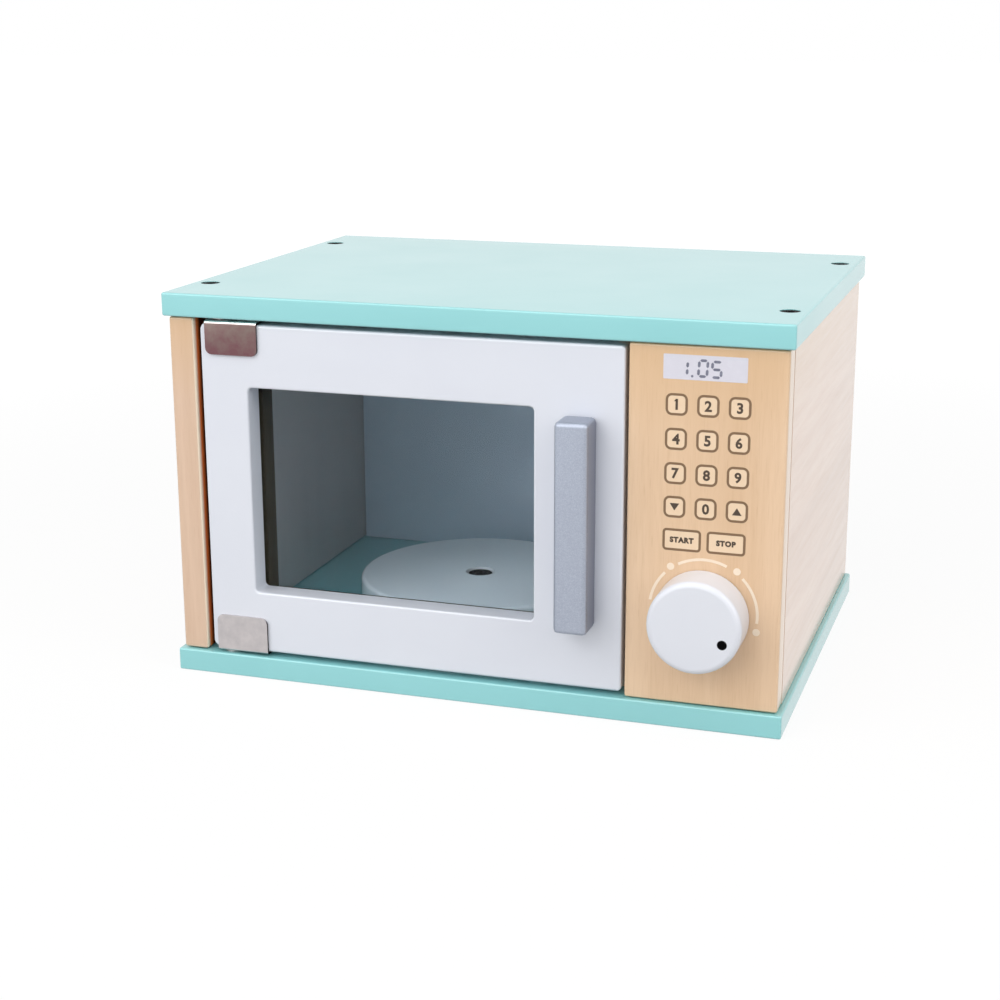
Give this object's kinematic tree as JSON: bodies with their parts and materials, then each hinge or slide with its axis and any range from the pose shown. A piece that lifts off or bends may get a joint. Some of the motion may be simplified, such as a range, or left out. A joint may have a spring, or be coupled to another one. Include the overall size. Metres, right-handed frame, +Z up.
{
  "type": "toy microwave",
  "caption": "Wooden toy microwave with painted boards, a hinged window door with a bar handle, a printed control panel with a turning knob, and a turntable inside.",
  "frame": {"origin": "Middle of the base board's underside, on the surface that the toy stands on.", "axes": "+X runs to the right as the user faces the door, +Y from the front to the back, and +Z up."},
  "size_m": [0.215, 0.1721, 0.135],
  "materials": {
    "mint_paint": "satin mint paint on board",
    "white_paint": "satin white paint on board",
    "light_wood": "pale natural wood under clear matt lacquer",
    "panel_wood": "warm natural wood under clear satin lacquer, printed",
    "bead_wood": "wood stained dark brown, unvarnished",
    "silver_paint": "silver sparkle paint on wood",
    "nickel": "nickel plate",
    "black_steel": "blackened steel",
    "grey_acrylic": "clear acrylic with a grey tint"
  },
  "bodies": {
    "case": {"base_board": "mint_paint", "top_board": "mint_paint", "left_side_wall": "light_wood", "right_side_wall": "light_wood", "back_wall": "white_paint", "partition": "light_wood", "control_panel": "panel_wood", "top_screw_1": "black_steel", "top_screw_2": "black_steel", "top_screw_3": "black_steel", "top_screw_4": "black_steel", "base_screw_1": "black_steel", "base_screw_2": "black_steel", "base_screw_3": "black_steel", "base_screw_4": "black_steel", "hinge_bush_upper": "nickel", "hinge_bush_lower": "nickel", "catch_magnet": "nickel", "turntable_screw": "black_steel", "turntable_washer": "nickel"},
    "door": {"door_panel": "white_paint", "door_pane": "grey_acrylic", "bead_left": "bead_wood", "bead_right": "bead_wood", "bead_top": "bead_wood", "bead_bottom": "bead_wood", "door_handle": "silver_paint", "handle_screw_upper": "nickel", "handle_screw_lower": "nickel", "hinge_clip_upper": "nickel", "hinge_clip_lower": "nickel", "hinge_pin_upper": "nickel", "hinge_pin_lower": "nickel", "clip_screw_upper": "nickel", "clip_screw_lower": "nickel", "door_strike": "nickel"},
    "knob": {"knob": "white_paint", "knob_screw": "nickel", "knob_washer": "nickel"},
    "turntable": {"turntable": "white_paint"}
  },
  "joints": [
    {"name": "door_hinge", "type": "hinge", "parent": "case", "child": "door", "pos_m": [-0.0882, -0.074, 0.0675], "axis": [0, 0, -1], "range_deg": [0, 110]},
    {"name": "knob_turn", "type": "hinge", "parent": "case", "child": "knob", "pos_m": [0.08035, -0.0785, 0.0389], "axis": [0, 1, 0], "continuous": true},
    {"name": "turntable_spin", "type": "hinge", "parent": "case", "child": "turntable", "pos_m": [-0.0212, 0, 0.0174], "axis": [0, 0, 1], "continuous": true}
  ]
}
